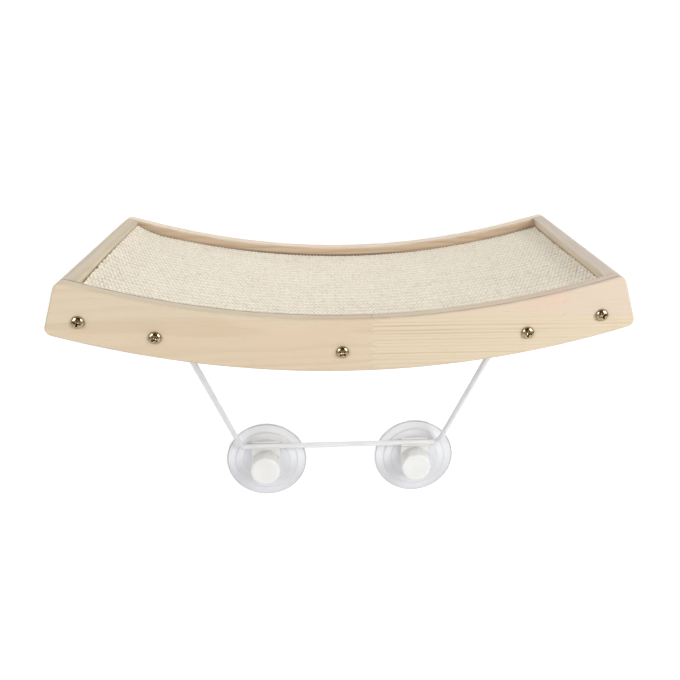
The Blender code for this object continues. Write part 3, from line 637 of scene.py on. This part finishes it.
def lathe(profile, seg, ripple=None, closed=False):
    """Turned body about Y. A profile point is (radius, distance in front of
    the pane); a radius of 0 makes a pole."""
    verts, faces, rings_ = [], [], []
    for r, d in profile:
        if r < 1e-6:
            rings_.append([len(verts)])
            verts.append((0.0, -d, 0.0))
            continue
        ring = []
        for k in range(seg):
            t = 2 * math.pi * k / seg
            rr = r + (ripple(t, r, d) if ripple else 0.0)
            ring.append(len(verts))
            verts.append((rr * math.cos(t), -d, rr * math.sin(t)))
        rings_.append(ring)
    count = len(rings_)
    for i in range(count if closed else count - 1):
        a, b = rings_[i], rings_[(i + 1) % count]
        for k in range(seg):
            m = (k + 1) % seg
            if len(a) == 1 and len(b) > 1:
                faces.append((a[0], b[m], b[k]))
            elif len(b) == 1 and len(a) > 1:
                faces.append((a[k], a[m], b[0]))
            elif len(a) > 1:
                faces.append((a[k], a[m], b[m], b[k]))
    return np.array(verts), faces


def outward(verts, faces):
    """Faces wound so that the closed body's volume is positive."""
    v = np.asarray(verts, float)
    vol = 0.0
    for f in faces:
        for i in range(1, len(f) - 1):
            vol += np.dot(v[f[0]], np.cross(v[f[i]], v[f[i + 1]]))
    return faces if vol > 0 else [tuple(reversed(f)) for f in faces]


# -------------------------------------------------------------- wood screws
def screw_mesh():
    """Pan head with a cross recess, and a shank with a coarse wood thread.
    The head's bearing face is at local Y = 0, its dome looks along -Y."""
    seg, head_r, head_h = 96, 5.65, 3.3
    verts, rings_ = [], []

    def arm(p, q):
        a = np.clip((3.5 - abs(p)) / 0.55, 0, 1) * np.clip((0.92 - abs(q)) / 0.26, 0, 1)
        return a * a * (3 - 2 * a)

    radii = [0.0] + list(np.linspace(0.25, 4.0, 16)) + [4.3, 4.65, 4.95, 5.20, 5.40, 5.55, 5.63, 5.65]
    for r in radii:
        dome = 0.75 + (head_h - 0.75) * math.sqrt(max(0.0, 1 - (r / head_r) ** 2.5))
        ring = []
        for k in range(1 if r == 0 else seg):
            t = 2 * math.pi * k / seg
            p, q = r * math.cos(t), r * math.sin(t)
            cross = max(arm(p, q), arm(q, p))
            hub = np.clip((1.75 - r) / 0.9, 0, 1)
            deep = cross * (1.0 + 1.35 * max(0.0, 1 - r / 3.5)) + hub * 0.25
            ring.append(len(verts))
            verts.append((p, -(dome - deep), q))
        rings_.append(ring)
    for r, d in ((5.87, 0.25), (5.75, 0.0), (2.5, 0.0)):
        ring = []
        for k in range(seg):
            t = 2 * math.pi * k / seg
            ring.append(len(verts))
            verts.append((r * math.cos(t), -d, r * math.sin(t)))
        rings_.append(ring)
    faces = []
    for a, b in zip(rings_, rings_[1:]):
        for k in range(seg):
            m = (k + 1) % seg
            if len(a) == 1:
                faces.append((a[0], b[k], b[m]))
            else:
                faces.append((a[k], b[k], b[m], a[m]))
    # shank: fewer segments, joined by a ring of triangles and quads
    seg2 = 24
    step = seg // seg2
    pitch = 2.3
    ys = [0.6] + list(np.linspace(3.5, 43.0, 140)) + [44.2]
    prev = None
    for y in ys:
        ring = []
        for k in range(seg2):
            t = 2 * math.pi * k / seg2
            f = ((y / pitch) - t / (2 * math.pi)) % 1.0
            tooth = max(0.0, 1 - abs(f - 0.5) / 0.30)
            taper = min(1.0, max(0.0, (45.0 - y) / 7.0)) ** 0.7
            run_in = min(1.0, max(0.0, (y - 5.0) / 3.0))
            r = (2.45 if y < 4 else 1.85 + 0.60 * (1 - run_in)) * taper + 0.85 * tooth * run_in * taper
            ring.append(len(verts))
            verts.append((r * math.cos(t), y, r * math.sin(t)))
        if prev is None:
            last = rings_[-1]
            for k in range(seg2):
                m = (k + 1) % seg2
                outer = [last[(k * step + j) % seg] for j in range(step + 1)]
                faces.append(tuple(outer[::-1] + [ring[k], ring[m]])[::-1])
        else:
            for k in range(seg2):
                m = (k + 1) % seg2
                faces.append((prev[k], ring[k], ring[m], prev[m]))
        prev = ring
    tip = len(verts)
    verts.append((0.0, 45.0, 0.0))
    for k in range(seg2):
        faces.append((prev[k], tip, prev[(k + 1) % seg2]))
    return np.array(verts), faces


SCREW_V, SCREW_F = screw_mesh()
SCREW_F = outward(SCREW_V, SCREW_F)
for i, x in enumerate(BAR_X):
    for face in ("front", "rear"):
        node = "screw_%s_%d" % (face, i + 1)
        a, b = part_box(node)
        centre = (Vector(a) + Vector(b)) / 2 / MM
        if face == "front":
            at = Vector((centre.x, Vector(a).y / MM + 3.3, centre.z))
        else:
            at = Vector((centre.x, Vector(b).y / MM - 3.3, centre.z))
        rot = Matrix.Rotation(0.0 if face == "front" else math.pi, 4, "Z") @ Matrix.Rotation(
            math.radians(SCREW_TURN[i]), 4, "Y")
        m = np.array(Matrix.Translation(at) @ rot)
        v = SCREW_V @ m[:3, :3].T + m[:3, 3]
        add_piece("wood_screw_%s_%d" % (face, i + 1), v, SCREW_F, ZINC_MAT, "tray", [node], 50.0)


# ------------------------------------------------------------------ wire rod
def filleted(points, radii, seg):
    out = [points[0]]
    for i in range(1, len(points) - 1):
        p, r = points[i], radii[i]
        u = (points[i - 1] - p).normalized()
        w = (points[i + 1] - p).normalized()
        half = u.angle(w) / 2
        run = r / math.tan(half)
        centre = p + (u + w).normalized() * (r / math.sin(half))
        va, vb = p + u * run - centre, p + w * run - centre
        total = va.angle(vb)
        for k in range(seg + 1):
            t = k / seg
            out.append(centre + (va * math.sin((1 - t) * total) + vb * math.sin(t * total)) / math.sin(total))
    out.append(points[-1])
    return out


def tube(path, radius, seg, end_round=0.7):
    """Round rod along a path, its ends slightly rounded, by parallel transport."""
    pts = [Vector(path[0])]
    for p in path[1:]:
        # short stations along the straight runs as well
        start, n = pts[-1], max(1, round((Vector(p) - pts[-1]).length / 6.0))
        pts += [start.lerp(Vector(p), k / n) for k in range(1, n + 1)]
    tang = []
    for i in range(len(pts)):
        a = pts[max(0, i - 1)]
        b = pts[min(len(pts) - 1, i + 1)]
        tang.append((b - a).normalized())
    n = tang[0].orthogonal().normalized()
    verts, rings_ = [], []
    stations = [(pts[0], tang[0], radius - end_round, 0.0), (pts[0], tang[0], radius - end_round * 0.3, end_round * 0.35)]
    for i, (p, t) in enumerate(zip(pts, tang)):
        off = end_round if i == 0 else (-end_round if i == len(pts) - 1 else 0.0)
        stations.append((p, t, radius, off))
    stations += [(pts[-1], tang[-1], radius - end_round * 0.3, -end_round * 0.35), (pts[-1], tang[-1], radius - end_round, 0.0)]
    for p, t, r, off in stations:
        n = (n - t * n.dot(t)).normalized()
        b = t.cross(n)
        ring = []
        for k in range(seg):
            f = 2 * math.pi * k / seg
            ring.append(len(verts))
            verts.append(tuple(p + t * off + (n * math.cos(f) + b * math.sin(f)) * r))
        rings_.append(ring)
    faces = []
    for a, b in zip(rings_, rings_[1:]):
        for k in range(seg):
            m = (k + 1) % seg
            faces.append((a[k], a[m], b[m], b[k]))
    faces.append(tuple(reversed(rings_[0])))
    faces.append(tuple(rings_[-1]))
    return np.array(verts), faces


PIVOT_Y, PIVOT_Z, PIVOT_X, PIN_END_X = -194.5, -16.0, 184.0, 151.0
FOOT = (132.4, -12.0, -276.6)
route = [Vector((-PIN_END_X, PIVOT_Y, PIVOT_Z)), Vector((-PIVOT_X, PIVOT_Y, PIVOT_Z)),
         Vector((-FOOT[0], FOOT[1], FOOT[2])), Vector(FOOT),
         Vector((PIVOT_X, PIVOT_Y, PIVOT_Z)), Vector((PIN_END_X, PIVOT_Y, PIVOT_Z))]
v, f = tube(filleted(route, [0, 7.0, 11.0, 11.0, 7.0, 0], 14), 3.5, 28)
add_piece("wire_rod", v, outward(v, f), COAT_MAT, "wire_support", ["wire_bracket"], 50.0)


# ------------------------------------------------------------- suction cups
def place(v, at):
    return np.asarray(v) + np.array(at)


LOWER_CUP = rounded([
    (0.0, 1.5), (16.0, 1.5, 2), (28.0, 1.3, 2), (40.0, 0.9, 2), (50.0, 0.35, 0.5), (50.6, 0.0, 0.3),
    (53.3, 0.0, 0.2), (53.6, 0.35, 0.3), (53.55, 0.95, 0.3), (52.8, 1.45, 0.5), (51.4, 1.35, 0.6),
    (47.0, 1.75, 2.0), (42.4, 2.25, 0.7), (40.3, 3.55, 0.8), (36.0, 3.95, 1.5), (32.3, 4.15, 0.6),
    (30.2, 5.35, 0.7), (24.0, 5.6, 0.8), (10.0, 5.7, 1.0), (3.35, 5.7, 0.3), (3.35, 4.4), (9.0, 4.4), (9.0, 2.55), (0.0, 2.55)])
KNOB = rounded([
    (0.0, 29.0), (3.35, 29.0), (3.35, 13.3, 0.3), (17.9, 13.3, 0.5), (19.4, 14.4, 1.2), (19.4, 31.6, 2.4),
    (18.9, 34.0, 1.6), (17.0, 35.0, 1.8), (14.4, 35.0, 1.2), (12.4, 34.55, 1.2), (6.0, 34.4, 2.0), (0.0, 34.45)], 5)
UPPER_CUP = rounded([
    (0.0, 2.0), (10.0, 2.0, 1), (18.0, 1.6, 1), (25.8, 0.5, 0.4), (26.3, 0.0, 0.2), (28.8, 0.0, 0.2), (29.0, 0.4, 0.2),
    (28.9, 0.95, 0.2), (28.0, 1.3, 0.4), (25.5, 2.1, 1.0), (18.0, 3.8, 2.0), (13.6, 6.0, 1.6), (11.5, 9.0, 1.4),
    (11.0, 15.3, 0.4), (10.6, 15.6, 0.2), (3.35, 15.6), (3.35, 8.3), (7.8, 8.3), (7.8, 5.4), (0.0, 5.4)])
UPPER_NUT = rounded([
    (3.35, 31.3), (10.6, 31.3, 0.4), (12.0, 32.5, 0.9), (12.0, 43.9, 1.2), (10.6, 45.1, 0.9), (7.0, 45.5, 0.8),
    (3.9, 45.5, 0.3), (3.35, 45.1)], 4)


def knob_ripple(t, r, d):
    if r < 16.8 or d < 14.0:
        return 0.0
    rise = min(1.0, (r - 16.8) / 2.2)
    return -0.5 * rise * (0.5 - 0.5 * math.cos(12 * t)) ** 4


def nut_ripple(t, r, d):
    if r < 9.0:
        return 0.0
    return -1.1 * min(1.0, (r - 9.0) / 2.0) * (0.5 - 0.5 * math.cos(8 * t)) ** 2


def rim_ripple(t, r, d):
    """A soft cup is never perfectly round."""
    return 0.10 * math.sin(2 * t + 0.6) * (r / 53.6) if r > 20 else 0.0


for side, tag in ((-1, "left"), (1, "right")):
    at = (side * CUP_X, 0.0, CUP_Z)
    v, f = lathe(LOWER_CUP, 144, rim_ripple)
    add_piece("suction_cup_" + tag, place(v, at), outward(v, f), VINYL_MAT, "cup_" + tag, ["lower_cup_" + tag], 60.0)
    v, f = lathe(KNOB, 192, knob_ripple)
    add_piece("screw_knob_" + tag, place(v, at), outward(v, f), WHITE_MAT, "knob_" + tag, ["lower_knob_" + tag], 50.0)
    at = (side * UP_X, 0.0, UP_Z)
    v, f = lathe(UPPER_CUP, 112)
    add_piece("rear_cup_" + tag, place(v, at), outward(v, f), VINYL_MAT, "tray", ["upper_cup_" + tag], 60.0)
    v, f = lathe(UPPER_NUT, 128, nut_ripple, closed=True)
    add_piece("thumb_nut_" + tag, place(v, at), outward(v, f), WHITE_MAT, "nut_" + tag, ["upper_nut_" + tag], 50.0)
    # threaded stud
    seg, verts, faces, prev = 24, [], [], None
    prof = [(7.5, 5.7), (7.5, 8.0), (3.0, 8.0)] + [(3.0, d) for d in np.arange(8.5, 49.0, 0.25)] + [(2.6, 49.6), (2.2, 50.2)]
    base = len(verts)
    verts.append((0.0, -5.7, 0.0))
    for r, d in prof:
        ring = []
        for k in range(seg):
            t = 2 * math.pi * k / seg
            cut = 0.0
            if 10.0 < d < 49.3 and r <= 3.0:
                fr = (d - t / (2 * math.pi)) % 1.0
                cut = 0.55 * min(1.0, abs(fr - 0.5) * 2.2)
            ring.append(len(verts))
            verts.append(((r - cut) * math.cos(t), -d, (r - cut) * math.sin(t)))
        for k in range(seg):
            m = (k + 1) % seg
            if prev is None:
                faces.append((base, ring[m], ring[k]))
            else:
                faces.append((prev[k], prev[m], ring[m], ring[k]))
        prev = ring
    top = len(verts)
    verts.append((0.0, -50.2, 0.0))
    for k in range(seg):
        faces.append((prev[k], prev[(k + 1) % seg], top))
    v = np.array(verts)
    add_piece("threaded_stud_" + tag, place(v, at), outward(v, faces), STEEL_MAT, "tray", ["upper_stud_" + tag], 50.0)


# -------------------------------------------------------------- woven mat
def woven_mat():
    """Knobby plain weave on the bent panel: floats 4.0 mm apart in rows
    4.85 mm apart that are offset by half. Thick and thin weft yarns take
    turns, so every second row is lower. Closed body with real relief."""
    rng = np.random.RandomState(11)
    a, b = 4.0, 4.85
    half = MAT_HALF
    depth = MAT_Y1 - MAT_Y0
    fine = 6
    nx, ny = int(round(2 * half / a * fine)), int(round(depth / b * fine * 1.1))
    s = np.linspace(-half, half, nx + 1)
    y = np.linspace(MAT_Y0, MAT_Y1, ny + 1)
    S, Y = np.meshgrid(s, y, indexing="ij")
    rows, cols = int(depth / b) + 6, int(2 * half / a) + 8
    jx = rng.normal(0, 0.11, (rows, cols))
    jy = rng.normal(0, 0.12, (rows, cols))
    hh = 1.0 + rng.normal(0, 0.055, (rows, cols))
    wx = 1.0 + rng.normal(0, 0.06, (rows, cols))
    wy = 1.0 + rng.normal(0, 0.06, (rows, cols))
    # rows and columns wander a little, as hand-fed yarn does
    wob_x = 0.6 * np.sin(Y / 37.0 + 1.3 + S / 160.0) + 0.2 * np.sin(Y / 14.0 + S / 71.0)
    wob_y = 0.6 * np.sin(S / 43.0 + 0.4 + Y / 120.0) + 0.2 * np.sin(S / 17.0 + 2.0)
    U, V = S + wob_x + half, Y + wob_y - MAT_Y0
    J = np.floor(V / b).astype(int)
    top = np.zeros_like(U)
    for dj in (-1, 0, 1):
        j = J + dj
        thin = (j % 2).astype(float)
        shift = 0.5 * thin
        I = np.floor(U / a - shift).astype(int)
        for di in (-1, 0, 1):
            i = I + di
            jj, ii = np.clip(j + 2, 0, rows - 1), np.clip(i + 3, 0, cols - 1)
            cx = (i + 0.5 + shift) * a + jx[jj, ii]
            cy = (j + 0.5) * b + jy[jj, ii]
            dx, dy = U - cx, V - cy
            rx = 0.53 * a * wx[jj, ii]
            ry = (0.555 - 0.12 * thin) * b * wy[jj, ii]
            q = (np.abs(dx) / rx) ** 2.2 + (np.abs(dy) / ry) ** 2.2
            top = np.maximum(top, (1.0 - 0.26 * thin) * hh[jj, ii] * np.clip(1 - q, 0, 1) ** 0.55)
    warp_yarn = 0.42 * np.clip(np.cos(2 * math.pi * U / (a / 2)), 0, 1) ** 0.6
    top = np.maximum(top, warp_yarn)
    lift = 1.50 * np.clip(top, 0, 1.2)
    # the cut edges are pressed down and a little ragged
    edge_y = np.minimum(Y - MAT_Y0, MAT_Y1 - Y)
    edge_s = half - np.abs(S)
    near = np.clip(np.minimum(edge_y / 1.0, edge_s / 0.8), 0, 1)
    lift = lift * (0.45 + 0.55 * near ** 0.5) - 0.4 * (1 - near) ** 2

    def frayed(open_, shut):
        """How far each yarn end stops short of the end board: ragged where
        the crack is open, pressed against the board where it is shut."""
        r = np.clip(np.repeat(rng.uniform(-0.9, 1.15, ny // 6 + 2), 6)[: ny + 1], -0.3, 1.0)
        r = np.convolve(np.pad(r, 2, mode="edge"), [0.1, 0.2, 0.4, 0.2, 0.1], "valid")
        t = np.clip((y - MAT_Y0) / depth, 0, 1)
        w = np.clip((t - shut) / (open_ - shut), 0, 1)
        return r * w - 0.35 * (1 - w)

    fall_l = np.clip(1 - (S + half) / 3.0, 0, 1)
    fall_r = np.clip(1 - (half - S) / 3.0, 0, 1)
    S2 = S + fall_l * frayed(0.45, 0.75)[None, :] - fall_r * frayed(0.65, 0.35)[None, :]
    # the mat curls up a little where it is tight against the end boards
    far = (Y - MAT_Y0) / depth

    def ease(lo_, hi_, ends):
        f = np.clip((far - lo_) / (hi_ - lo_), 0, 1)
        return ends[0] + (ends[1] - ends[0]) * f * f * (3 - 2 * f)

    bow_l = np.clip(1 - (S2 + half) / CURL_RUN, 0, 1) ** 2 * ease(0.0, 0.5, CURL_LEFT)
    bow_r = np.clip(1 - (half - S2) / CURL_RUN, 0, 1) ** 2 * ease(0.25, 0.75, CURL_RIGHT)
    R = MAT_R + 1.55 - lift - bow_l - bow_r
    A = S2 / MAT_R
    V3 = np.stack([R * np.sin(A), Y, ARC_R - R * np.cos(A)], -1)
    verts = list(V3.reshape(-1, 3))

    def idx(i, j):
        return i * (ny + 1) + j

    faces = []
    I, Jg = np.meshgrid(np.arange(nx), np.arange(ny), indexing="ij")
    quads = np.stack([idx(I, Jg), idx(I + 1, Jg), idx(I + 1, Jg + 1), idx(I, Jg + 1)], -1).reshape(-1, 4)
    faces += [tuple(q) for q in quads.tolist()]
    rb = MAT_R + MAT_T

    def low(i, j):
        t = S2[i, j] / MAT_R
        r = rb - bow_l[i, j] - bow_r[i, j]
        verts.append(np.array([r * math.sin(t), y[j], ARC_R - r * math.cos(t)]))
        return len(verts) - 1

    # underside: full columns near both ends, long quads between them
    edge_cols = [i for i in range(nx + 1) if min(i, nx - i) * a / fine <= 40 and min(i, nx - i) % fine == 0]
    cols_low = sorted(set(edge_cols) | {0, nx})
    under = {i: [low(i, j) for j in range(ny + 1)] for i in cols_low}
    front = {i: under[i][0] if i in under else low(i, 0) for i in range(nx + 1)}
    back = {i: under[i][-1] if i in under else low(i, ny) for i in range(nx + 1)}
    for j in range(ny):
        faces.append((idx(0, j), idx(0, j + 1), under[0][j + 1], under[0][j]))
        faces.append((idx(nx, j + 1), idx(nx, j), under[nx][j], under[nx][j + 1]))
    for i in range(nx):
        faces.append((idx(i + 1, 0), idx(i, 0), front[i], front[i + 1]))
        faces.append((idx(i, ny), idx(i + 1, ny), back[i + 1], back[i]))
    for p, q in zip(cols_low, cols_low[1:]):
        if q - p > 40:
            # the plain middle part of the underside
            faces.append((front[p + 1], front[p]) + tuple(under[p][1:-1]) + (back[p], back[p + 1]))
            for i in range(p + 1, q - 1):
                faces.append((front[i], back[i], back[i + 1], front[i + 1]))
            faces.append((back[q - 1], back[q]) + tuple(reversed(under[q][1:-1])) + (front[q], front[q - 1]))
        else:
            for j in range(ny):
                if j == 0:
                    faces.append(tuple(front[i] for i in range(q, p - 1, -1)) + (under[p][1], under[q][1]))
                elif j == ny - 1:
                    faces.append((under[q][j], under[p][j]) + tuple(back[i] for i in range(p, q + 1)))
                else:
                    faces.append((under[p][j], under[p][j + 1], under[q][j + 1], under[q][j]))
    ob = add_piece("woven_sisal_mat", verts, faces, SISAL_MAT, "tray", ["sisal_mat"], 180.0)
    return ob


MAT = woven_mat()


# ---------------------------------------------------------- backdrop, light
def backdrop():
    """Plain white wall just behind the pane's plane, curving into a pale
    floor. It is one-sided, so the object can be seen from behind."""
    verts, faces = [], []
    wall_y, floor_z, r, half = 0.8, -800.0, 90.0, 3000.0
    prof = [(wall_y, 2600.0), (wall_y, floor_z + r)]
    for k in range(1, 13):
        t = math.pi / 2 * k / 12
        prof.append((wall_y - r * (1 - math.cos(t)), floor_z + r * (1 - math.sin(t))))
    prof.append((-4000.0, floor_z))
    for y, z in prof:
        verts += [(-half * MM, y * MM, z * MM), (half * MM, y * MM, z * MM)]
    for i in range(len(prof) - 1):
        faces.append((2 * i, 2 * i + 2, 2 * i + 3, 2 * i + 1))
    mesh = bpy.data.meshes.new("backdrop")
    mesh.from_pydata(verts, [], faces)
    mesh.shade_smooth()
    ob = bpy.data.objects.new("backdrop", mesh)
    COLL.objects.link(ob)
    g = Graph("backdrop_white")
    clear = g.node("ShaderNodeBsdfTransparent")
    geo = g.node("ShaderNodeNewGeometry")
    path = g.node("ShaderNodeLightPath")
    seen = path.outputs["Is Camera Ray"]
    # far from the object, where only other views look, it stays pale too
    away = g.node("ShaderNodeVectorMath", operation="LENGTH")
    g.link(geo.outputs["Position"], away.inputs[0])
    far = g.remap(away.outputs["Value"], 0.95, 1.9, 0.22, 0.66)
    g.set(Base_Color=g.mix(seen, (0.84, 0.84, 0.84), (0.93, 0.93, 0.93)), Roughness=0.9, Specular_IOR_Level=0.0,
          Emission_Color=(1.0, 1.0, 1.0), Emission_Strength=g.math("MULTIPLY", seen, far))
    see = g.math("MAXIMUM", geo.outputs["Backfacing"], path.outputs["Is Shadow Ray"])
    mixed = g.node("ShaderNodeMixShader")
    g.link(see, mixed.inputs[0])
    g.link(g.bsdf.outputs[0], mixed.inputs[1])
    g.link(clear.outputs[0], mixed.inputs[2])
    g.link(mixed.outputs[0], g.out.inputs["Surface"])
    mesh.materials.append(g.mat)
    return ob


backdrop()


def area(name, at, target, size, power, color=(1, 1, 1)):
    data = bpy.data.lights.new(name, "AREA")
    data.shape = "RECTANGLE"
    data.size, data.size_y = size
    data.energy = power
    data.color = color
    ob = bpy.data.objects.new(name, data)
    COLL.objects.link(ob)
    ob.location = at
    d = Vector(target) - Vector(at)
    ob.rotation_mode = "QUATERNION"
    ob.rotation_quaternion = d.to_track_quat("-Z", "Y")
    ob.visible_camera = False
    return ob


area("key_right", (1.50, -1.70, 0.80), (0.0, -0.15, -0.1), (1.0, 1.3), 42.5)
area("fill_left", (-1.55, -1.60, 0.75), (0.0, -0.15, -0.1), (0.9, 1.2), 22.5)
area("back_soft", (-0.4, 1.9, 0.8), (0.0, 0.0, -0.1), (1.8, 1.4), 10.0)


def world():
    """A pale room, brighter round the horizon, dark overhead and behind the
    camera, so that metal has something to show."""
    w = bpy.data.worlds.new("studio")
    w.use_nodes = True
    t = w.node_tree
    t.nodes.clear()
    out = t.nodes.new("ShaderNodeOutputWorld")
    cam = t.nodes.new("ShaderNodeBackground")
    cam.inputs["Color"].default_value = (1.0, 1.0, 1.0, 1.0)
    cam.inputs["Strength"].default_value = 1.0
    room = t.nodes.new("ShaderNodeBackground")
    coord = t.nodes.new("ShaderNodeTexCoord")
    sep = t.nodes.new("ShaderNodeSeparateXYZ")
    t.links.new(coord.outputs["Generated"], sep.inputs[0])
    ramp = t.nodes.new("ShaderNodeValToRGB")
    cr = ramp.color_ramp
    cr.interpolation = "EASE"
    cr.elements[0].position = 0.25
    cr.elements[0].color = (0.59, 0.585, 0.58, 1.0)
    cr.elements[1].position = 0.88
    cr.elements[1].color = (0.16, 0.16, 0.165, 1.0)
    mid = cr.elements.new(0.62)
    mid.color = (0.52, 0.52, 0.525, 1.0)
    scale = t.nodes.new("ShaderNodeMath")
    scale.operation = "MULTIPLY_ADD"
    scale.inputs[1].default_value = 0.5
    scale.inputs[2].default_value = 0.5
    t.links.new(sep.outputs[2], scale.inputs[0])
    t.links.new(scale.outputs[0], ramp.inputs[0])
    # dark patch round the direction of the camera
    dot = t.nodes.new("ShaderNodeVectorMath")
    dot.operation = "DOT_PRODUCT"
    t.links.new(coord.outputs["Generated"], dot.inputs[0])
    dot.inputs[1].default_value = Vector((0.0, -0.90, 0.43)).normalized()
    patch = t.nodes.new("ShaderNodeMapRange")
    patch.interpolation_type = "SMOOTHSTEP"
    patch.inputs["From Min"].default_value = 0.80
    patch.inputs["From Max"].default_value = 0.95
    patch.inputs["To Min"].default_value = 1.0
    patch.inputs["To Max"].default_value = 0.12
    t.links.new(dot.outputs["Value"], patch.inputs["Value"])
    t.links.new(ramp.outputs[0], room.inputs["Color"])
    path = t.nodes.new("ShaderNodeLightPath")
    below = t.nodes.new("ShaderNodeMapRange")
    below.interpolation_type = "SMOOTHSTEP"
    below.inputs["From Min"].default_value = 0.05
    below.inputs["From Max"].default_value = -0.30
    below.inputs["To Min"].default_value = 0.0
    below.inputs["To Max"].default_value = 0.78
    t.links.new(sep.outputs[2], below.inputs["Value"])
    mirror = t.nodes.new("ShaderNodeMath")
    mirror.operation = "MULTIPLY"
    t.links.new(below.outputs[0], mirror.inputs[0])
    t.links.new(path.outputs["Is Glossy Ray"], mirror.inputs[1])
    keep = t.nodes.new("ShaderNodeMath")
    keep.operation = "SUBTRACT"
    keep.inputs[0].default_value = 1.0
    t.links.new(mirror.outputs[0], keep.inputs[1])
    strength = t.nodes.new("ShaderNodeMath")
    strength.operation = "MULTIPLY"
    t.links.new(patch.outputs[0], strength.inputs[0])
    t.links.new(keep.outputs[0], strength.inputs[1])
    t.links.new(strength.outputs[0], room.inputs["Strength"])
    mix = t.nodes.new("ShaderNodeMixShader")
    t.links.new(path.outputs["Is Camera Ray"], mix.inputs[0])
    t.links.new(room.outputs[0], mix.inputs[1])
    t.links.new(cam.outputs[0], mix.inputs[2])
    t.links.new(mix.outputs[0], out.inputs["Surface"])
    bpy.context.scene.world = w


world()
